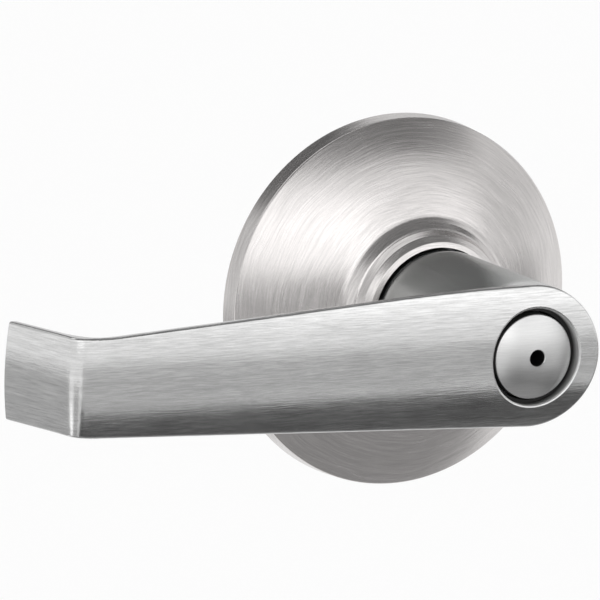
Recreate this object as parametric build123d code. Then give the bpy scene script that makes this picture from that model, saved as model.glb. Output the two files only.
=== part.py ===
from build123d import *
import os
from math import asin, atan2, cos, degrees, hypot, radians, sin, sqrt, tan

# Door lever trim, in millimetres. The lever turns about the Y axis and points towards -X.
# A depth is a distance out from the door face, so a point at depth d lies at y = -d.

# Clearances
fit_gap = 0.05          # running and sliding fits, on the radius
seat_gap = 0.02         # pieces held fast in each other
face_gap = 0.1          # between faces that pass each other
free_gap = 0.5          # between round parts that must never touch

# Rose: the round cover on the door
rose_radius = 33.0
rose_rim_draft = 0.25
rose_rim_depth = 3.6
rose_rim_round = 0.5
rose_shoulder_depth = 12.1
rose_bulge = 0.57
rose_wall = 1.3
rose_height = 16.7
collar_back_depth = 11.45
collar_lip_width = 0.9
collar_lip_drop = 0.3
collar_bevel_width = 1.05
collar_bevel_drop = 0.85
collar_lean = 0.6
collar_height = 2.7
collar_step_width = 0.32
collar_step_drop = 0.2
collar_foot_width = 1.3
collar_edge_round = 0.3
collar_step_round = 0.16
collar_fillet = 2.5
collar_gap = 0.6

# Lever
neck_radius = 12.1
neck_flare_length = 9.0
skirt_radius = 11.6
skirt_rise = 0.2
neck_lead_length = 3.0
neck_lead_bulge = 0.1
neck_overlap = 0.25
hub_radius = 12.2
lever_projection = 51.8
bend_reach = 86.0
bend_half_width = 8.4
bend_lower_width = 8.05
shoulder_length = 13.0
waist_setback = 5.7
waist_half_width = 7.95
waist_round = 45.0
heel_setback = 3.5
heel_half_width = 8.5
heel_round = 20.0
bend_round = 2.75
return_lean = 18.0
return_length = 16.9
hub_thickness = 5.9
bend_thickness = 5.0
return_thickness = 5.0
inner_bend_round = 3.0
crown_radius = 50.0
back_round = 3.75
front_round = 0.45
recess_radius = 8.3
recess_depth = 2.5
recess_round = 0.37

# Spindle, its bushes and the ring that holds it
spindle_radius = 8.0
spindle_bore = 6.3
spindle_tail_radius = 7.6
spindle_tail_length = 32.0
spindle_land = 0.8
ring_groove_depth = 0.8
ring_width = 2.8
ring_thickness = 1.0
ring_mouth_angle = 50.0
bush_wall = 1.6
bush_flange_radius = 11.4
bush_tail = 2.0
front_flange_thickness = 1.1
washer_thickness = 0.6

# Mounting plate, its posts and the clips that hold the rose
plate_thickness = 1.6
post_radius = 3.6
post_head_radius = 4.2
post_head_height = 1.8
post_length = 18.0
post_thread_radius = 1.75
post_thread_depth = 14.0
clip_count = 4
clip_thickness = 0.5
clip_length = 4.0
clip_angle = 11.0
clip_lip = 0.5
first_clip_angle = 20.0

# Return spring and its cage
cage_sheet = 1.0
tab_thickness = 0.6
tab_fold = 2.8
tab_angle = 16.0
tab_count = 3
tab_play = 1.0
first_tab_angle = 30.0
spring_wire_width = 2.4
spring_wire_height = 1.1
spring_pitch = 1.2
spring_coils = 3
spring_leg_width = 2.0
spring_leg_play = 0.3
driver_wall = 3.3
driver_arm_thickness = 0.7
finger_thickness = 0.6
finger_angle = 10.0
rivet_count = 4
rivet_radius = 1.5
rivet_head_radius = 2.4
rivet_head_height = 0.9
rivet_sink = 0.7
first_rivet_angle = 45.0
ear_width = 6.4

# Keys between spindle and lever, and between spindle and spring driver
key_width = 2.4
key_height = 2.2
key_length = 16.0
key_start = 14.0
lug_width = 3.0
lug_length = 4.0

# Catch that holds the lever on the spindle
catch_depth = 24.0
catch_radius = 1.9
catch_travel = 1.9
catch_head_radius = 2.4
catch_head_height = 0.6
leaf_thickness = 0.35
leaf_width = 4.0
leaf_length = 19.0

# Privacy button, its tube and the release pin in its middle
button_radius = 7.3
button_gap = 0.4
button_rim_drop = 1.2
button_dome = 1.5
button_rim_round = 0.3
button_thickness = 3.2
button_boss_radius = 4.4
button_boss_length = 1.8
button_travel = 2.5
button_spring_wire = 0.7
button_spring_turns = 2.6
release_hole_radius = 1.34
release_hole_bevel = 0.18
tube_radius = 3.2
tube_tail_radius = 2.4
tube_seat = 1.0
tube_floor = 3.0
tube_overhang = 2.0
guide_thickness = 2.8
guide_ring_thickness = 0.9
guide_ring_width = 1.3
guide_ring_groove = 0.4
clip_ring_thickness = 0.8
clip_ring_width = 1.8
clip_ring_groove = 0.45
pin_radius = 1.0
pin_head_radius = 2.25
pin_head_length = 3.0
pin_overhang = 2.0
release_spring_wire = 0.4
release_spring_length = 12.0
release_spring_turns = 8
end_bush_length = 8.0

# Radii that follow from the spindle outwards
bush_radius = spindle_radius + fit_gap + bush_wall
driver_radius = spindle_radius + driver_wall
spring_inner = driver_radius + free_gap
spring_outer = spring_inner + spring_wire_width
finger_inner = spring_outer + free_gap
finger_outer = finger_inner + finger_thickness
stop_inner = finger_outer + free_gap
cage_inner = stop_inner + cage_sheet
cage_radius = cage_inner + cage_sheet
rivet_place = cage_radius + face_gap + rivet_head_radius
post_place = cage_radius + free_gap + post_head_radius
plate_radius = rose_radius - rose_wall - free_gap
collar_bore = skirt_radius + collar_gap
collar_bevel_radius = collar_bore + collar_lip_width + collar_bevel_width
collar_radius = collar_bevel_radius + collar_lean
collar_foot_radius = collar_radius + collar_step_width + collar_foot_width
button_bore = button_radius + button_gap

# Depths built up from the door face
cage_floor_top = plate_thickness + cage_sheet
leg_angle = finger_angle / 2 + degrees(asin(spring_leg_width / 2 / spring_outer)) + spring_leg_play
spring_turns = spring_coils - 2 * leg_angle / 360
spring_start = cage_floor_top + face_gap
spring_end = spring_start + spring_turns * spring_pitch + spring_wire_height
arm_start = spring_end + face_gap
arm_end = arm_start + driver_arm_thickness
cover_start = arm_end + face_gap
cover_end = cover_start + cage_sheet
washer_start = cover_end + front_flange_thickness
neck_start = washer_start + washer_thickness + face_gap / 2
ring_end = -(bush_tail + face_gap)
ring_start = ring_end - ring_thickness
land_start = ring_start - spindle_land

# Depths built down from the lever's outer face
button_rim = lever_projection - button_rim_drop
button_back = button_rim - button_thickness
boss_end = button_back - button_boss_length
hole_start = button_back + tube_seat
guide_end = boss_end - button_travel - 2 * face_gap
guide_start = guide_end - guide_thickness
spindle_front = guide_start - face_gap
clip_end = guide_start - face_gap
clip_start = clip_end - clip_ring_thickness
pin_head_end = hole_start - 3 * face_gap
pin_head_start = pin_head_end - pin_head_length
pin_spring_seat = pin_head_start - release_spring_length
tube_step = pin_spring_seat - tube_floor
tube_end = -(spindle_tail_length + tube_overhang)
pin_end = tube_end - pin_overhang

centred_bottom = (Align.CENTER, Align.CENTER, Align.MIN)


def at_depth(depth):
    """Plane parallel to the door face, looking outwards."""
    return Plane.XZ.offset(depth)


def bar(radius, start, end):
    """Round bar on the lever axis between two depths."""
    return at_depth(start) * Cylinder(radius, end - start, align=centred_bottom)


def ring(outer, inner, start, end):
    return bar(outer, start, end) - bar(inner, start, end)


def turned(edges):
    """Solid of revolution about the lever axis. The edges lie in X (radius) and Y (minus depth)."""
    return revolve(make_face(edges), Axis.Y)


def profile(*corners):
    """Closed outline through (radius, depth) corners."""
    return Polyline(*[(radius, -depth) for radius, depth in corners], close=True)


def sector(outer, inner, start, end, angle, middle=90.0):
    """Part of a ring that spans an angle about the lever axis, measured from +X towards +Z."""
    half = radians(angle / 2)
    reach = 2 * outer
    wedge = Polygon(
        (0, 0),
        (reach * cos(half), -reach * sin(half)),
        (reach * cos(half), reach * sin(half)),
        align=None,
    )
    cutter = extrude(at_depth(start) * Rot(0, 0, middle) * wedge, end - start)
    return ring(outer, inner, start, end) & cutter


def around(count, first=0.0):
    """Turns about the lever axis for a piece that is repeated evenly."""
    return [Rotation(0, -(first + index * 360 / count), 0) for index in range(count)]


def bulged(start, end, bulge):
    """Arc between two (radius, depth) points that stands off their chord by a bulge, outwards."""
    run = end[0] - start[0]
    rise = end[1] - start[1]
    length = hypot(run, rise)
    middle = (
        (start[0] + end[0]) / 2 + bulge * rise / length,
        (start[1] + end[1]) / 2 - bulge * run / length,
    )
    return ThreePointArc(*[(radius, -depth) for radius, depth in (start, middle, end)])


def along(*points):
    return Polyline(*[(radius, -depth) for radius, depth in points])


def coil(mean_radius, wire, start, end, turns):
    """Compression spring of round wire between two depths."""
    pitch = (end - start - wire) / turns
    path = Helix(pitch, pitch * turns, mean_radius)
    section = Plane(path @ 0, z_dir=path % 0) * Circle(wire / 2)
    return at_depth(start + wire / 2) * sweep(section, path=path, is_frenet=True)


# Rose

def make_rose():
    rim_front = (rose_radius - rose_rim_draft, rose_rim_depth)
    shoulder = (collar_foot_radius, rose_shoulder_depth)
    inner_rim = (rose_radius - rose_wall, rose_rim_depth - rose_wall / 2)
    inner_shoulder = (collar_radius, collar_back_depth)
    step = rose_height - collar_height
    step_front = (collar_radius + collar_step_width, step - collar_step_drop)
    wall_foot = (collar_radius, step)
    bevel_start = (collar_bore + collar_lip_width, rose_height - collar_lip_drop)
    bevel_end = (collar_bevel_radius, bevel_start[1] - collar_bevel_drop)
    lip = (collar_bore, rose_height)
    edges = [
        along((rose_radius, 0), rim_front),
        bulged(rim_front, shoulder, rose_bulge),
        along(shoulder, step_front, wall_foot, bevel_end, bevel_start, lip),
        along(lip, (collar_bore, inner_shoulder[1]), inner_shoulder),
        bulged(inner_shoulder, inner_rim, -rose_bulge),
        along(inner_rim, (inner_rim[0], 0), (rose_radius, 0)),
    ]
    section = make_face(edges)
    rounds = {
        rim_front: rose_rim_round,
        shoulder: collar_fillet,
        step_front: collar_step_round,
        wall_foot: collar_step_round,
        bevel_end: collar_edge_round,
        bevel_start: collar_edge_round,
    }
    for corner, radius in rounds.items():
        place = Vector(corner[0], -corner[1])
        section = fillet(section.vertices().sort_by_distance(place)[0], radius)
    return revolve(section, Axis.Y)


# Lever

def lever_outline():
    """Front view of the lever: a round hub, and an arm that narrows to a waist before the bend."""
    heel_reach = bend_reach - heel_setback
    tilt = asin(hub_radius / hypot(heel_reach, heel_half_width)) - atan2(heel_half_width, heel_reach)
    waist = (waist_setback - bend_reach, waist_half_width)
    shoulder = (-shoulder_length, hub_radius)
    # The upper edge leaves the hub in one long curve
    turn = atan2(shoulder[1] - waist[1], shoulder[0] - waist[0])
    shoulder_round = 0.95 * shoulder_length / tan(turn / 2)
    upper_bend = (-bend_reach, bend_half_width)
    lower_bend = (-bend_reach, -bend_lower_width)
    heel = (-heel_reach, -heel_half_width)
    reach = bend_reach + 2 * return_length
    arm = Polygon(
        (0, hub_radius),
        shoulder,
        waist,
        upper_bend,
        (-reach, bend_half_width),
        (-reach, -bend_lower_width),
        lower_bend,
        heel,
        (-hub_radius * sin(tilt), -hub_radius * cos(tilt)),
        align=None,
    )
    rounds = (
        (shoulder, shoulder_round),
        (waist, waist_round),
        (upper_bend, heel_round),
        (lower_bend, heel_round),
        (heel, heel_round),
    )
    for corner, radius in rounds:
        arm = fillet(arm.vertices().sort_by_distance(Vector(*corner))[0], radius)
    return Circle(hub_radius) + arm


def return_frame():
    """Outer end of the return, with its direction and its outward normal, as (x, depth)."""
    lean = radians(return_lean)
    direction = (-sin(lean), -cos(lean))
    normal = (-cos(lean), sin(lean))
    tip = (
        -bend_reach + return_length * direction[0],
        lever_projection + return_length * direction[1],
    )
    return tip, direction, normal


def side_shape():
    """Side view of the lever's inside line and end. Its outside line is left to the crown."""
    tip, direction, normal = return_frame()
    tip_inner = (tip[0] - return_thickness * normal[0], tip[1] - return_thickness * normal[1])
    back = lever_projection - hub_thickness
    slope = (hub_thickness - bend_thickness) / bend_reach
    # Where the line of the return's inner face meets the back of the arm
    steps = (back - tip_inner[1] - slope * tip_inner[0]) / (-direction[1] + slope * direction[0])
    corner_x = tip_inner[0] - steps * direction[0]
    corner = (corner_x, back - slope * corner_x)
    end = 2 * hub_radius
    beyond = 2 * bend_reach
    outline = [
        (end, lever_projection + hub_thickness),
        (-beyond, lever_projection + hub_thickness),
        (tip[0] + beyond * normal[0], tip[1] + beyond * normal[1]),
        tip_inner,
        corner,
        (end, back - slope * end),
    ]
    face = make_face(Polyline(*[(x, -depth) for x, depth in outline], close=True))
    inner = [v for v in face.vertices() if abs(v.X - corner[0]) + abs(v.Y + corner[1]) < 0.01]
    return fillet(inner, inner_bend_round)


def crown_section(plane, half, depth):
    """Section under a crowned face. The plane's x runs across the lever, its y outwards."""
    drop = crown_radius - sqrt(crown_radius**2 - half**2)
    edges = [
        ThreePointArc((-half, -drop), (0, 0), (half, -drop)),
        Polyline((half, -drop), (half, -depth), (-half, -depth), (-half, -drop)),
    ]
    return plane * make_face(edges)


def crown_envelope():
    """Everything under the crowned outer faces of arm, bend and return."""
    direction = return_frame()[1]
    turn = 90 - return_lean
    setback = bend_round * tan(radians(turn / 2))
    bend_start = setback - bend_reach
    bend_end = (bend_start - setback + setback * direction[0], setback * direction[1])
    deep = 3 * hub_thickness
    across_arm = hub_radius + free_gap
    across_bend = bend_half_width + free_gap
    arm_plane = Plane((bend_start, -lever_projection, 0), x_dir=(0, 0, 1), z_dir=(1, 0, 0))
    return_plane = Plane(
        (bend_end[0], -lever_projection - bend_end[1], 0),
        x_dir=(0, 0, -1),
        z_dir=(direction[0], -direction[1], 0),
    )
    arm = extrude(crown_section(arm_plane, across_arm, deep), 2 * hub_radius - bend_start)
    bend_axis = Axis((bend_start, bend_round - lever_projection, 0), (0, 0, -1))
    bend = revolve(crown_section(arm_plane, across_bend, bend_round), bend_axis, turn)
    return arm + bend + extrude(crown_section(return_plane, across_bend, deep), 2 * return_length)


def below_face(point):
    """How far a point lies under the lever's outer face, on the arm or on the return."""
    tip, direction, normal = return_frame()
    under_arm = lever_projection + point.Y
    under_return = (tip[0] - point.X) * normal[0] + (tip[1] + point.Y) * normal[1]
    return min(under_arm, under_return)


def back_edges(solid):
    """Edges along the lever's back, without the seams that run across its sides."""
    tip = return_frame()[0]
    found = []
    for edge in solid.edges():
        place = edge @ 0.5
        at_tip = -place.Y < tip[1] + return_thickness / 2
        at_hub = place.X > hub_radius / 2
        on_side = abs(place.Z) > bend_half_width / 2
        seam = abs((edge % 0.5).Y) > 0.99
        deep = below_face(place) > bend_thickness / 2
        if deep and (at_hub or on_side) and not (seam or at_tip):
            found.append(edge)
    return found


def front_edges(solid):
    """Edges round the lever's outer faces and round the end of the return."""
    tip = return_frame()[0]
    outer = [face for face in solid.faces() if below_face(face.center()) < bend_thickness / 5]
    edges = [edge for face in outer for edge in face.edges()]
    found = [edge for edge in edges if edges.count(edge) == 1]
    end_edges = [edge for edge in solid.edges() if -(edge @ 0.5).Y < tip[1] + return_thickness / 2]
    return found + [edge for edge in end_edges if edge not in found]


def make_arm():
    """Hub, arm and return, with rounded edges."""
    side = extrude(side_shape(), 2 * hub_radius, both=True)
    front = extrude(at_depth(0) * lever_outline(), 2 * lever_projection)
    solid = side & front & crown_envelope()
    crown_drop = crown_radius - sqrt(crown_radius**2 - bend_half_width**2)
    thinnest = min(bend_thickness, return_thickness) - crown_drop
    solid = fillet(back_edges(solid), min(back_round, thinnest - 1.1 * front_round))
    return fillet(front_edges(solid), front_round)


def make_neck():
    """Round column from the rose to the hub, with a skirt inside the rose and a flare at the hub."""
    skirt_end = rose_height + skirt_rise
    lead_end = skirt_end + neck_lead_length
    flare_end = lever_projection - hub_thickness
    flare_start = flare_end - neck_flare_length
    top = flare_end + back_round + neck_overlap
    edges = [
        along((0, neck_start), (skirt_radius, neck_start), (skirt_radius, skirt_end)),
        bulged((skirt_radius, skirt_end), (neck_radius, lead_end), neck_lead_bulge),
        along((neck_radius, lead_end), (neck_radius, flare_start)),
        bulged((neck_radius, flare_start), (hub_radius, flare_end), (neck_radius - hub_radius) / 4),
        along((hub_radius, flare_end), (hub_radius, top), (0, top), (0, neck_start)),
    ]
    return turned(edges)


def key_block(play):
    """The two keys between spindle and lever, made larger all round by some play."""
    low = spindle_radius - key_height / 2 - play
    high = spindle_radius + key_height / 2 + play
    width = key_width + 2 * play
    length = key_length + 2 * play
    plane = at_depth(key_start - play)
    sides = [plane * Pos(side * (low + high) / 2, 0, 0) for side in (-1, 1)]
    return [side * Box(high - low, width, length, align=centred_bottom) for side in sides]


def catch_hole(play):
    """Radial hole for the catch, down from the lever axis."""
    return Pos(0, -catch_depth, 0) * Rot(180, 0, 0) * Cylinder(
        catch_radius + play, 2 * neck_radius, align=centred_bottom
    )


def make_recess(solid):
    """Sunk place for the button in the lever's face, with its edge rounded over."""
    floor = lever_projection - recess_depth
    solid -= bar(recess_radius, floor, lever_projection + recess_depth)
    rim = solid.edges().sort_by_distance(Vector(recess_radius, -lever_projection, 0))[0]
    return fillet(rim, recess_round) - bar(button_bore, spindle_front, lever_projection)


def make_lever():
    bore = bar(spindle_radius + fit_gap, 0, spindle_front + face_gap / 2)
    groove = ring(
        button_bore + guide_ring_groove + seat_gap,
        button_bore / 2,
        guide_end,
        guide_end + guide_ring_thickness + 2 * seat_gap,
    )
    width = key_width + 2 * fit_gap
    reach = 2 * (spindle_radius + key_height / 2 + fit_gap)
    keyway = at_depth(0) * Box(reach, width, key_start + key_length + face_gap, align=centred_bottom)
    solid = make_recess(make_neck() + make_arm())
    return solid - bore - groove - keyway - catch_hole(fit_gap)


# Spindle and bearings

def make_spindle_tube():
    tube = bar(spindle_radius, land_start, spindle_front)
    tube += bar(spindle_tail_radius, -spindle_tail_length, land_start)
    tube -= bar(spindle_bore, -spindle_tail_length, spindle_front)
    groove_radius = spindle_radius - ring_groove_depth
    tube -= ring(2 * spindle_radius, groove_radius, ring_start - seat_gap, ring_end + seat_gap)
    tube -= catch_hole(fit_gap)
    lugs = at_depth(cage_floor_top + 2 * face_gap - seat_gap) * Box(
        4 * spindle_radius, lug_width + 2 * seat_gap, lug_length + 2 * seat_gap, align=centred_bottom
    )
    return tube - lugs - key_block(seat_gap)


def make_retaining_ring():
    inner = spindle_radius - ring_groove_depth + seat_gap
    outer = inner + ring_width
    mouth = sector(2 * outer, 0.1, ring_start, ring_end, ring_mouth_angle, 270)
    return ring(outer, inner, ring_start, ring_end) - mouth


def make_rear_bush():
    bore = spindle_radius + fit_gap
    sleeve = ring(bush_radius, bore, -bush_tail, cage_floor_top)
    return sleeve + ring(bush_flange_radius, bore, plate_thickness, cage_floor_top)


def make_front_bush():
    bore = spindle_radius + fit_gap
    sleeve = ring(bush_radius, bore, cover_start, washer_start)
    return sleeve + ring(bush_flange_radius, bore, cover_end, washer_start)


def make_thrust_washer():
    washer_bore = spindle_radius + 3 * face_gap
    return ring(bush_flange_radius, washer_bore, washer_start, washer_start + washer_thickness)


# Mounting plate and what is fixed to it

def rivet_shape(play):
    """One flush rivet at its place on +X, with its head on the cage."""
    sink = rivet_radius + rivet_sink
    head_start = cage_floor_top
    body = turned(
        profile(
            (0, 0),
            (sink + play, 0),
            (rivet_radius + play, rivet_sink),
            (rivet_radius + play, head_start),
            (0, head_start),
        )
    )
    return Pos(rivet_place, 0, 0) * body


def make_cage_rivets():
    head = bar(rivet_head_radius, cage_floor_top, cage_floor_top + rivet_head_height)
    head = chamfer(head.edges().sort_by(Axis.Y)[0], rivet_head_height / 2)
    rivet = rivet_shape(0) + Pos(rivet_place, 0, 0) * head
    return [turn * rivet for turn in around(rivet_count, first_rivet_angle)]


def make_mounting_plate():
    plate = ring(plate_radius, bush_radius + seat_gap, 0, plate_thickness)
    for side in (-1, 1):
        plate -= Pos(0, 0, side * post_place) * bar(post_radius + seat_gap, 0, plate_thickness)
    for turn in around(rivet_count, first_rivet_angle):
        plate -= turn * rivet_shape(seat_gap)
    return plate


def make_mounting_posts():
    post = bar(post_radius, -post_length, plate_thickness)
    post += bar(post_head_radius, plate_thickness, plate_thickness + post_head_height)
    post -= bar(post_thread_radius, -post_length, post_thread_depth - post_length)
    return [Pos(0, 0, side * post_place) * post for side in (-1, 1)]


def make_rose_clips():
    outer = rose_radius - rose_wall - face_gap
    top = plate_thickness + clip_thickness
    foot = sector(outer, plate_radius - clip_length, plate_thickness, top, clip_angle, 0)
    lip = sector(outer, outer - clip_thickness, plate_thickness, top + clip_lip, clip_angle, 0)
    clip = foot + lip
    return [turn * clip for turn in around(clip_count, first_clip_angle)]


# Return spring cage

def make_cage_cup():
    floor_bore = bush_flange_radius + 3 * face_gap
    cup = ring(cage_radius, floor_bore, plate_thickness, cover_start)
    cup -= bar(cage_inner, cage_floor_top, cover_start)
    cup += sector(cage_radius, stop_inner, plate_thickness, cover_start - face_gap, finger_angle)
    fold_inner = cage_radius - tab_fold
    fold_end = cover_end + tab_thickness
    tab = sector(cage_radius, cage_inner, cover_start, fold_end, tab_angle, 0)
    tab += sector(cage_radius, fold_inner, cover_end, fold_end, tab_angle, 0)
    for turn in around(tab_count, first_tab_angle):
        cup += turn * tab
    ear = Pos(rivet_place / 2, 0) * Rectangle(rivet_place, ear_width)
    ear += Pos(rivet_place, 0) * Circle(ear_width / 2)
    ear = extrude(at_depth(plate_thickness) * ear, cage_sheet) - bar(cage_inner, 0, cover_end)
    for turn in around(rivet_count, first_rivet_angle):
        cup += turn * ear
        cup -= turn * rivet_shape(seat_gap)
    return cup


def make_cage_cover():
    cover = ring(cage_radius, bush_radius + seat_gap, cover_start, cover_end)
    notch_inner = cage_inner - face_gap
    notch = sector(
        2 * cage_radius, notch_inner, cover_start, cover_end, tab_angle + 2 * tab_play, 0
    )
    for turn in around(tab_count, first_tab_angle):
        cover -= turn * notch
    return cover


def make_return_spring():
    """Flat-wire torsion spring. Its two legs stand either side of the stop and the finger."""
    mean = (spring_inner + spring_outer) / 2
    path = Helix(spring_pitch, spring_pitch * spring_turns, mean)
    wire = Rectangle(spring_wire_width, spring_wire_height)
    section = Plane(path @ 0, x_dir=(1, 0, 0), z_dir=path % 0) * wire
    spring = sweep(section, path=path, is_frenet=True)
    leg_end = stop_inner + cage_sheet / 2
    leg_box = Box(leg_end - mean, spring_leg_width, spring_wire_height)
    leg = Pos((leg_end + mean) / 2, 0, 0) * leg_box
    spring += leg
    spring += Pos(0, 0, spring_pitch * spring_turns) * Rot(0, 0, -2 * leg_angle) * leg
    turn = Rot(0, 0, 90 + leg_angle)
    return at_depth(spring_start + spring_wire_height / 2) * turn * spring


def make_spring_driver():
    """Sleeve keyed to the spindle, with an arm over the spring and a finger between its legs."""
    start = cage_floor_top + face_gap
    driver = ring(driver_radius, spindle_radius + seat_gap, start, arm_end)
    driver += sector(finger_outer, spindle_radius + seat_gap, arm_start, arm_end, finger_angle)
    driver += sector(finger_outer, finger_inner, start, arm_end, finger_angle)
    lug_outer = spindle_radius + driver_wall / 2
    lug_inner = spindle_bore + 2 * face_gap
    lug_place = (lug_outer + lug_inner) / 2
    plane = at_depth(start + face_gap)
    for side in (-1, 1):
        lug = Box(lug_outer - lug_inner, lug_width, lug_length, align=centred_bottom)
        driver += plane * Pos(side * lug_place, 0, 0) * lug
    return driver


# Catch that holds the lever on the spindle

def catch_head_low():
    """Height under the axis at which the catch's head rests inside the spindle's bore."""
    return sqrt(spindle_bore**2 - catch_head_radius**2) - 3 * face_gap


def make_lever_catch():
    low = catch_head_low()
    nose = spindle_radius + catch_travel
    shank = Cylinder(catch_radius, nose - low, align=centred_bottom)
    shank = chamfer(shank.edges().sort_by(Axis.Z)[-1], catch_radius / 4)
    head = Pos(0, 0, -catch_head_height) * Cylinder(
        catch_head_radius, catch_head_height, align=centred_bottom
    )
    return Pos(0, -catch_depth, -low) * Rot(180, 0, 0) * (shank + head)


def make_catch_spring():
    """Leaf that lies on the spindle's bore at one end and presses on the catch at the other."""
    seat = -sqrt(spindle_bore**2 - (leaf_width / 2) ** 2) + face_gap / 2
    press = -catch_head_low() + catch_head_height + face_gap / 2
    far = catch_depth + catch_head_radius
    near = far - leaf_length
    line = [
        (near, seat),
        (near + leaf_length / 3, seat),
        (far - 2 * catch_head_radius - face_gap, press),
        (far, press),
    ]
    upper = [(depth, height + leaf_thickness) for depth, height in reversed(line)]
    strip = Polyline(*[(-depth, height) for depth, height in line + upper], close=True)
    return extrude(Plane.YZ * make_face(strip), leaf_width / 2, both=True)


# Button, its tube and the release pin

def make_button_cap():
    apex = button_rim + button_dome
    hole_edge = release_hole_radius + release_hole_bevel
    sphere = (button_radius**2 + button_dome**2) / (2 * button_dome)
    dome_at_edge = apex - sphere + sqrt(sphere**2 - hole_edge**2)
    half_chord = hypot(button_radius - hole_edge, dome_at_edge - button_rim) / 2
    bulge = sphere - sqrt(sphere**2 - half_chord**2)
    edges = [
        bulged((button_radius, button_rim), (hole_edge, dome_at_edge), bulge),
        along(
            (hole_edge, dome_at_edge),
            (release_hole_radius, dome_at_edge - release_hole_bevel),
            (release_hole_radius, hole_start),
            (tube_radius + seat_gap, hole_start),
            (tube_radius + seat_gap, boss_end),
            (button_boss_radius, boss_end),
            (button_boss_radius, button_back),
            (button_radius, button_back),
            (button_radius, button_rim),
        ),
    ]
    section = make_face(edges)
    rim = section.vertices().sort_by_distance(Vector(button_radius, -button_rim))[0]
    return revolve(fillet(rim, button_rim_round), Axis.Y)


def make_button_tube():
    groove_radius = tube_radius - clip_ring_groove
    tube = bar(tube_radius, tube_step, hole_start - seat_gap)
    tube += bar(tube_tail_radius, tube_end, tube_step)
    tube -= bar(pin_radius + fit_gap, tube_end, hole_start)
    tube -= bar(pin_head_radius + fit_gap, pin_spring_seat, hole_start)
    return tube - ring(2 * tube_radius, groove_radius, clip_start - seat_gap, clip_end)


def make_button_clip():
    inner = tube_radius - clip_ring_groove + seat_gap
    outer = inner + clip_ring_width
    mouth = sector(2 * outer, 0.1, clip_start, clip_end - seat_gap, ring_mouth_angle, 270)
    return ring(outer, inner, clip_start, clip_end - seat_gap) - mouth


def make_button_guide():
    return ring(button_bore - seat_gap, tube_radius + fit_gap, guide_start, guide_end)


def make_guide_ring():
    outer = button_bore + guide_ring_groove
    start = guide_end + seat_gap
    end = start + guide_ring_thickness
    mouth = sector(2 * outer, 0.1, start, end, ring_mouth_angle, 90)
    return ring(outer, outer - guide_ring_width - guide_ring_groove, start, end) - mouth


def make_button_spring():
    mean = (button_boss_radius + button_bore - guide_ring_width) / 2
    return coil(mean, button_spring_wire, guide_end, button_back, button_spring_turns)


def make_release_pin():
    shaft = bar(pin_radius, pin_end, pin_head_start)
    return shaft + bar(pin_head_radius, pin_head_start, pin_head_end)


def make_release_spring():
    mean = (pin_radius + pin_head_radius) / 2
    return coil(mean, release_spring_wire, pin_spring_seat, pin_head_start, release_spring_turns)


def make_spindle_end_bush():
    start = -spindle_tail_length
    return ring(spindle_bore - seat_gap, tube_tail_radius + fit_gap, start, start + end_bush_length)


pieces = {
    "rose": make_rose(),
    "mounting_plate": make_mounting_plate(),
    "mounting_posts": make_mounting_posts(),
    "rose_clips": make_rose_clips(),
    "cage_cup": make_cage_cup(),
    "cage_cover": make_cage_cover(),
    "cage_rivets": make_cage_rivets(),
    "return_spring": make_return_spring(),
    "rear_bush": make_rear_bush(),
    "front_bush": make_front_bush(),
    "thrust_washer": make_thrust_washer(),
    "lever": make_lever(),
    "spindle_tube": make_spindle_tube(),
    "spindle_end_bush": make_spindle_end_bush(),
    "retaining_ring": make_retaining_ring(),
    "drive_keys": key_block(0),
    "spring_driver": make_spring_driver(),
    "catch_spring": make_catch_spring(),
    "lever_catch": make_lever_catch(),
    "button_guide": make_button_guide(),
    "guide_ring": make_guide_ring(),
    "button_spring": make_button_spring(),
    "button_cap": make_button_cap(),
    "button_tube": make_button_tube(),
    "button_clip": make_button_clip(),
    "release_spring": make_release_spring(),
    "release_pin": make_release_pin(),
}

os.makedirs("parts", exist_ok=True)
for name, piece in pieces.items():
    solids = piece if isinstance(piece, list) else [piece]
    export_step(Compound(children=solids), f"parts/{name}.step")
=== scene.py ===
import bpy
import bmesh
from math import cos, radians, sin
from mathutils import Matrix, Vector

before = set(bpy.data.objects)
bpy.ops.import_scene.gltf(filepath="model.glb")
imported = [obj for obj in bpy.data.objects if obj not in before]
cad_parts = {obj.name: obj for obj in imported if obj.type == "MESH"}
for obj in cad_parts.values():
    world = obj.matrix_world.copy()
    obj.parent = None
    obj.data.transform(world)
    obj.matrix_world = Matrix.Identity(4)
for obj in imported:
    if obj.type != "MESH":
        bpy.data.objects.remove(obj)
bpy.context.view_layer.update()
scene = bpy.context.scene
scene.view_settings.view_transform = "Standard"
print("frame loaded:", len(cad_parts), "nodes")


# Camera. The place is in metres, the angles in degrees, the lens and the sensor in millimetres.
cameraSettings = {
    "place": (-0.48561, -0.88053, 0.20411),
    "yaw": 27.97,
    "pitch": 11.535,
    "roll": 2.42,
    "lens": 350.2,
    "sensor": 36.0,
}


def turn(angle, axis):
    return Matrix.Rotation(radians(angle), 4, axis)


def addCamera(s):
    camera = bpy.data.objects.new("camera", bpy.data.cameras.new("camera"))
    scene.collection.objects.link(camera)
    camera.data.sensor_width = s["sensor"]
    camera.data.lens = s["lens"]
    facing = turn(-s["yaw"], "Z") @ turn(90 - s["pitch"], "X") @ turn(s["roll"], "Z")
    camera.matrix_world = Matrix.Translation(s["place"]) @ facing
    scene.camera = camera


addCamera(cameraSettings)
print("camera placed")


# Nodes. An input is given as another node's socket, which is linked, or as a plain value.
def addNode(tree, kind, inputs=None, **settings):
    node = tree.nodes.new(kind)
    for key, value in settings.items():
        setattr(node, key, value)
    for key, value in (inputs or {}).items():
        socket = node.inputs[key]
        if isinstance(value, bpy.types.NodeSocket):
            tree.links.new(value, socket)
        else:
            socket.default_value = value
    return node


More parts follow.
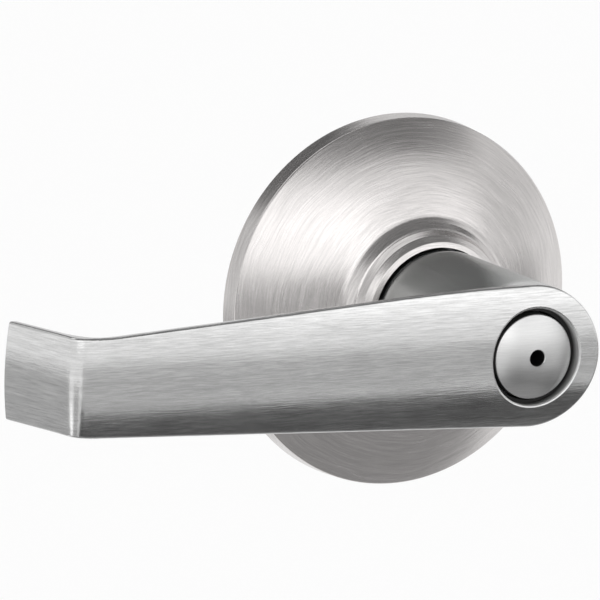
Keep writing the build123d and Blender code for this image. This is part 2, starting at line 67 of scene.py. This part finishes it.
def newGroup(name, inputs, outputs):
    tree = bpy.data.node_groups.new(name, "ShaderNodeTree")
    for label, kind, value in inputs:
        socket = tree.interface.new_socket(label, in_out="INPUT", socket_type=kind)
        if value is not None:
            socket.default_value = value
    for label, kind in outputs:
        tree.interface.new_socket(label, in_out="OUTPUT", socket_type=kind)
    return tree, addNode(tree, "NodeGroupInput"), addNode(tree, "NodeGroupOutput")


def arithmetic(tree, operation, a, b=0.0):
    return addNode(tree, "ShaderNodeMath", {0: a, 1: b}, operation=operation).outputs[0]


def vectorMath(tree, operation, a, b=(0, 0, 0)):
    return addNode(tree, "ShaderNodeVectorMath", {0: a, 1: b}, operation=operation)


def noise(tree, vector, s):
    inputs = {"Vector": vector, "Scale": s["scale"], "Detail": s["detail"], "Roughness": s["roughness"]}
    return addNode(tree, "ShaderNodeTexNoise", inputs).outputs["Fac"]


def mapRange(tree, value, fromLow, fromHigh, low, high):
    inputs = {"Value": value, "From Min": fromLow, "From Max": fromHigh, "To Min": low, "To Max": high}
    return addNode(tree, "ShaderNodeMapRange", inputs).outputs["Result"]


def mixed(tree, share, a, b):
    return mapRange(tree, share, 0.0, 1.0, a, b)


# The mix node's own places for its two colours and their result
mixSockets = {"a": 6, "b": 7, "result": 2}


def mixColour(tree, factor, a, b, blend="MIX"):
    inputs = {"Factor": factor, mixSockets["a"]: a, mixSockets["b"]: b}
    node = addNode(tree, "ShaderNodeMix", inputs, data_type="RGBA", blend_type=blend)
    return node.outputs[mixSockets["result"]]


# Brushing: lines that run straight along the lever, or in circles round its axis. Each scale
# stretches the place before the noise is read, so a small one gives long marks.
straightBrush = {"along": 250.0, "across": 4600.0}
roundBrush = {
    "around": 4.2,
    "outwards": 4200.0,
    "inDepth": 1500.0,
    "wander": {"scale": 110.0, "detail": 1.0, "roughness": 0.5},
    "wanderWidth": 0.0016,
}
brushNoise = {
    "fine": {"scale": 1.0, "detail": 3.0, "roughness": 0.6},
    "broad": {"scale": 0.22, "detail": 2.0, "roughness": 0.5},
    "grain": {"scale": 5200.0, "detail": 1.0, "roughness": 0.5},
    "cloud": {"scale": 90.0, "detail": 3.0, "roughness": 0.55},
    "broadShare": 0.25,
    "grainShare": 0.16,
    "cloudShare": 0.5,
}


def straightLines():
    tree, inside, out = newGroup(
        "straightLines",
        [("Vector", "NodeSocketVector", None)],
        [("Vector", "NodeSocketVector")],
    )
    along, across = straightBrush["along"], straightBrush["across"]
    scaled = vectorMath(tree, "MULTIPLY", inside.outputs["Vector"], (along, along, across))
    tree.links.new(scaled.outputs[0], out.inputs["Vector"])
    return tree


def roundLines():
    tree, inside, out = newGroup(
        "roundLines",
        [("Vector", "NodeSocketVector", None)],
        [("Vector", "NodeSocketVector")],
    )
    s = roundBrush
    flat = vectorMath(tree, "MULTIPLY", inside.outputs["Vector"], (1, 0, 1)).outputs[0]
    around = vectorMath(tree, "NORMALIZE", flat).outputs[0]
    swept = vectorMath(tree, "MULTIPLY", around, (s["around"], 0, s["around"])).outputs[0]
    waves = noise(tree, inside.outputs["Vector"], s["wander"])
    wander = arithmetic(tree, "MULTIPLY", waves, s["wanderWidth"])
    radius = arithmetic(tree, "ADD", vectorMath(tree, "LENGTH", flat).outputs["Value"], wander)
    depth = addNode(tree, "ShaderNodeSeparateXYZ", {0: inside.outputs["Vector"]}).outputs["Y"]
    outwards = arithmetic(tree, "MULTIPLY", radius, s["outwards"])
    inDepth = arithmetic(tree, "MULTIPLY", depth, s["inDepth"])
    across = arithmetic(tree, "ADD", outwards, inDepth)
    lifted = addNode(tree, "ShaderNodeCombineXYZ", {"Y": across}).outputs[0]
    total = vectorMath(tree, "ADD", swept, lifted)
    tree.links.new(total.outputs[0], out.inputs["Vector"])
    return tree


def brushMarks():
    tree, inside, out = newGroup(
        "brushMarks",
        [("Vector", "NodeSocketVector", None), ("Place", "NodeSocketVector", None)],
        [("Lines", "NodeSocketFloat"), ("Cloud", "NodeSocketFloat")],
    )
    s = brushNoise
    fine = noise(tree, inside.outputs["Vector"], s["fine"])
    broad = noise(tree, inside.outputs["Vector"], s["broad"])
    grain = noise(tree, inside.outputs["Place"], s["grain"])
    lines = mixed(tree, s["grainShare"], mixed(tree, s["broadShare"], fine, broad), grain)
    cloud = noise(tree, inside.outputs["Place"], s["cloud"])
    tree.links.new(lines, out.inputs["Lines"])
    tree.links.new(cloud, out.inputs["Cloud"])
    return tree


# How far a place lies from the lever's turning axis, and where it lies along that axis
def axisPlace():
    tree, inside, out = newGroup(
        "axisPlace",
        [("Place", "NodeSocketVector", None)],
        [("Radius", "NodeSocketFloat"), ("Depth", "NodeSocketFloat")],
    )
    flat = vectorMath(tree, "MULTIPLY", inside.outputs["Place"], (1, 0, 1)).outputs[0]
    tree.links.new(vectorMath(tree, "LENGTH", flat).outputs["Value"], out.inputs["Radius"])
    depth = addNode(tree, "ShaderNodeSeparateXYZ", {0: inside.outputs["Place"]}).outputs["Y"]
    tree.links.new(depth, out.inputs["Depth"])
    return tree


groups = {
    "straight": straightLines(),
    "round": roundLines(),
    "marks": brushMarks(),
    "axisPlace": axisPlace(),
}


def group(tree, name, inputs):
    return addNode(tree, "ShaderNodeGroup", inputs, node_tree=groups[name])


# Zones inside a radius and behind a depth, in metres. Each pair says where the zone fades in or out.
# A zone tints the metal, sets its roughness and has no brushing. The darker tints are painted shade.
# The neck is smooth and unbrushed, and its darker tint is painted shade.
smoothNeckWithPaintedShade = {
    "radius": (0.0160, 0.0175), "depth": (-0.0475, -0.0450),
    "tint": (0.8, 0.82, 0.81, 1.0), "roughness": 0.26,
}
recessZone = {
    "radius": (0.00836, 0.00850), "depth": (-0.0530, -0.0520),
    "tint": (1.0, 1.0, 1.0, 1.0), "roughness": 0.5,
}
# Painted shade: the deep floor of the button's recess is tinted near-black.
recessFloorPaintedShade = {
    "radius": (0.00836, 0.00850), "depth": (-0.0509, -0.0494),
    "tint": (0.10, 0.10, 0.10, 1.0), "roughness": 0.7,
}
# Painted shade: the inside of the button's hole is tinted near-black.
holePaintedShade = {
    "radius": (0.00138, 0.00146), "depth": (-0.0560, -0.0550),
    "tint": (0.06, 0.06, 0.06, 1.0), "roughness": 0.6,
}


# Finishes, one for each slot of the record. The spread is the brushing's contrast, and the depth its
# height in metres. A finish with a tangent stretches its highlights across the brushing.
finishes = {
    "lever_satin": {
        "colour": (0.670, 0.670, 0.668), "spread": 0.24, "roughness": (0.15, 0.25),
        "brush": "straight", "depth": 0.000012, "anisotropy": 0.7, "tangent": "Z",
        "zones": (smoothNeckWithPaintedShade, recessZone, recessFloorPaintedShade),
    },
    "button_satin": {
        "colour": (0.67, 0.67, 0.668), "spread": 0.08, "roughness": (0.28, 0.36),
        "brush": "straight", "depth": 0.000006,
        "zones": (holePaintedShade,),
    },
    "rose_satin": {
        "colour": (0.66, 0.638, 0.63), "spread": 0.2, "roughness": (0.2, 0.3),
        "brush": "round", "depth": 0.000012, "anisotropy": 0.75, "tangent": "Y",
    },
    "plated_steel": {
        "colour": (0.58, 0.59, 0.61), "spread": 0.06, "roughness": (0.3, 0.45),
        "brush": "straight", "depth": 0.000004,
    },
    "sintered_steel": {
        "colour": (0.33, 0.33, 0.34), "spread": 0.12, "roughness": (0.45, 0.6),
        "brush": "straight", "depth": 0.00002,
    },
    "spring_steel": {
        "colour": (0.42, 0.42, 0.43), "spread": 0.06, "roughness": (0.25, 0.4),
        "brush": "round", "depth": 0.000004,
    },
    "bright_steel": {
        "colour": (0.64, 0.64, 0.65), "spread": 0.05, "roughness": (0.15, 0.28),
        "brush": "round", "depth": 0.000004,
    },
    "blackened_steel": {
        "colour": (0.05, 0.05, 0.055), "spread": 0.1, "roughness": (0.4, 0.5),
        "brush": "round", "depth": 0.000004,
    },
    "bearing_brass": {
        "colour": (0.72, 0.53, 0.27), "spread": 0.08, "roughness": (0.25, 0.4),
        "brush": "round", "depth": 0.000006,
    },
    "nylon": {
        "colour": (0.78, 0.77, 0.73), "spread": 0.04, "roughness": (0.4, 0.5),
        "brush": "round", "depth": 0.000006,
        "metallic": 0.0,
    },
}


# Most of the noise lies between low and high, round the middle
noiseRange = {"low": 0.3, "middle": 0.5, "high": 0.7}


def makeFinish(name, s):
    material = bpy.data.materials.new(name + "Finish")
    material.use_nodes = True
    tree = material.node_tree
    tree.nodes.clear()
    place = addNode(tree, "ShaderNodeTexCoord").outputs["Object"]
    along = group(tree, s["brush"], {"Vector": place}).outputs["Vector"]
    marks = group(tree, "marks", {"Vector": along, "Place": place})
    lines, cloud = marks.outputs["Lines"], marks.outputs["Cloud"]
    axis = group(tree, "axisPlace", {"Place": place})
    zones = []
    for zone in s.get("zones", ()):
        inRadius = mapRange(tree, axis.outputs["Radius"], *zone["radius"], 1.0, 0.0)
        behind = mapRange(tree, axis.outputs["Depth"], *zone["depth"], 0.0, 1.0)
        zones.append((zone, arithmetic(tree, "MULTIPLY", inRadius, behind)))
    for zone, mask in zones:
        lines = mixed(tree, mask, lines, noiseRange["middle"])
    light = [min(1.0, c * (1 + s["spread"])) for c in s["colour"]] + [1.0]
    dark = [c * (1 - s["spread"]) for c in s["colour"]] + [1.0]
    lowest, highest = noiseRange["low"], noiseRange["high"]
    colour = mixColour(tree, mapRange(tree, lines, lowest, highest, 0.0, 1.0), dark, light)
    wear = mixed(tree, brushNoise["cloudShare"], lines, cloud)
    roughness = mapRange(tree, wear, lowest, highest, *s["roughness"])
    # The zones' tints multiply the colour: painted shade on the neck, the recess floor and the hole.
    for zone, mask in zones:
        colour = mixColour(tree, mask, colour, zone["tint"], "MULTIPLY")
        roughness = mixed(tree, mask, roughness, zone["roughness"])
    bump = addNode(tree, "ShaderNodeBump", {"Height": lines, "Distance": s["depth"], "Strength": 1.0})
    shader = addNode(tree, "ShaderNodeBsdfPrincipled", {
        "Base Color": colour,
        "Roughness": roughness,
        "Metallic": s.get("metallic", 1.0),
        "Normal": bump.outputs["Normal"],
    })
    if "tangent" in s:
        tangent = addNode(tree, "ShaderNodeTangent", direction_type="RADIAL", axis=s["tangent"])
        tree.links.new(tangent.outputs[0], shader.inputs["Tangent"])
        shader.inputs["Anisotropic"].default_value = s["anisotropy"]
    output = addNode(tree, "ShaderNodeOutputMaterial", {"Surface": shader.outputs[0]})
    output.is_active_output = True
    return material


finished = {name: makeFinish(name, s) for name, s in finishes.items()}
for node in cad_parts.values():
    for materialSlot in node.material_slots:
        materialSlot.material = finished[materialSlot.material.name]
print("finishes made:", len(finished))


# Studio: a pale floor and a white dome, in metres. The low floor lets the part be seen from below.
studio = {
    "floorHeight": -1.2,
    "floorSize": 40.0,
    "floorColour": (0.98, 0.98, 0.98, 1.0),
    "floorRoughness": 0.8,
    "floorGloss": 0.1,
    "dome": 1.0,
    "centre": (-0.02, -0.03, 0.0),
}

# Soft boxes and grey cards round the part, aimed at its centre and seen only by its gloss. Azimuth is
# counted in degrees from the front towards +X. A level of 1 is as bright as the dome.
softboxes = {
    "keyBox": {"azimuth": -20, "elevation": 20, "distance": 1.2, "size": (1.1, 0.62), "level": 1.75},
    "frontBox": {"azimuth": 35, "elevation": 17, "distance": 1.25, "size": (0.95, 0.5), "level": 1.4},
    "rightBox": {"azimuth": 75, "elevation": 15, "distance": 1.2, "size": (0.6, 0.4), "level": 0.75},
    "sideBox": {"azimuth": -70, "elevation": -24, "distance": 1.1, "size": (0.3, 0.3), "level": 1.6},
}

cards = {
    "topCard": {"azimuth": 10, "elevation": 74, "distance": 1.4, "size": (3.0, 1.6), "level": 0.22},
    "backCard": {"azimuth": 160, "elevation": 44, "distance": 1.4, "size": (3.0, 0.7), "level": 0.12},
    "horizonCard": {"azimuth": 180, "elevation": 10, "distance": 1.5, "size": (3.8, 0.8), "level": 0.75},
    "backLowCard": {"azimuth": -150, "elevation": -28, "distance": 1.5, "size": (1.6, 0.9), "level": 0.5},
    "leftCard": {"azimuth": -110, "elevation": 22, "distance": 1.4, "size": (1.3, 0.9), "level": 0.65},
    "leftLowCard": {"azimuth": -112, "elevation": -24, "distance": 1.35, "size": (1.1, 0.8), "level": 0.5},
    "frontLowCard": {"azimuth": 26, "elevation": -12, "distance": 1.35, "size": (1.35, 0.36), "level": 0.55},
    "lowCard": {"azimuth": 35, "elevation": -36, "distance": 1.3, "size": (1.9, 0.66), "level": 0.1},
    "lowLeftCard": {"azimuth": -38, "elevation": -24, "distance": 1.3, "size": (0.8, 0.6), "level": 0.5},
    "lowRightCard": {"azimuth": 72, "elevation": -14, "distance": 1.3, "size": (0.6, 0.6), "level": 0.3},
    "underCard": {"azimuth": 0, "elevation": -68, "distance": 1.0, "size": (2.6, 1.1), "level": 0.33},
}


def emitter(name, level):
    material = bpy.data.materials.new(name)
    material.use_nodes = True
    tree = material.node_tree
    tree.nodes.clear()
    light = addNode(tree, "ShaderNodeEmission", {"Color": (1, 1, 1, 1), "Strength": level})
    addNode(tree, "ShaderNodeOutputMaterial", {"Surface": light.outputs[0]})
    return material


def addPlane(name, size, matrix, material):
    mesh = bpy.data.meshes.new(name)
    bm = bmesh.new()
    halfSide = 0.5
    bmesh.ops.create_grid(bm, x_segments=1, y_segments=1, size=halfSide)
    bmesh.ops.scale(bm, vec=(*size, 1), verts=bm.verts)
    bmesh.ops.transform(bm, matrix=matrix, verts=bm.verts)
    bm.to_mesh(mesh)
    bm.free()
    plane = bpy.data.objects.new(name, mesh)
    scene.collection.objects.link(plane)
    mesh.materials.append(material)
    return plane


def addCard(name, s):
    azimuth, elevation = radians(s["azimuth"]), radians(s["elevation"])
    direction = Vector((sin(azimuth) * cos(elevation), -cos(azimuth) * cos(elevation), sin(elevation)))
    place = Vector(studio["centre"]) + direction * s["distance"]
    facing = direction.to_track_quat("Z", "Y").to_matrix().to_4x4()
    card = addPlane(name, s["size"], Matrix.Translation(place) @ facing, emitter(name, s["level"]))
    card.visible_camera = False
    card.visible_diffuse = False
    card.visible_shadow = False


def makeFloor(s):
    material = bpy.data.materials.new("floorPaint")
    material.use_nodes = True
    shader = material.node_tree.nodes["Principled BSDF"]
    shader.inputs["Base Color"].default_value = s["floorColour"]
    shader.inputs["Roughness"].default_value = s["floorRoughness"]
    shader.inputs["Specular IOR Level"].default_value = s["floorGloss"]
    size = (s["floorSize"], s["floorSize"])
    addPlane("floor", size, Matrix.Translation((0, 0, s["floorHeight"])), material)


def makeDome(s):
    world = bpy.data.worlds.new("dome")
    world.use_nodes = True
    background = world.node_tree.nodes["Background"]
    background.inputs["Color"].default_value = (1, 1, 1, 1)
    background.inputs["Strength"].default_value = s["dome"]
    scene.world = world


makeFloor(studio)
makeDome(studio)
for name, s in {**softboxes, **cards}.items():
    addCard(name, s)
print("studio set up")
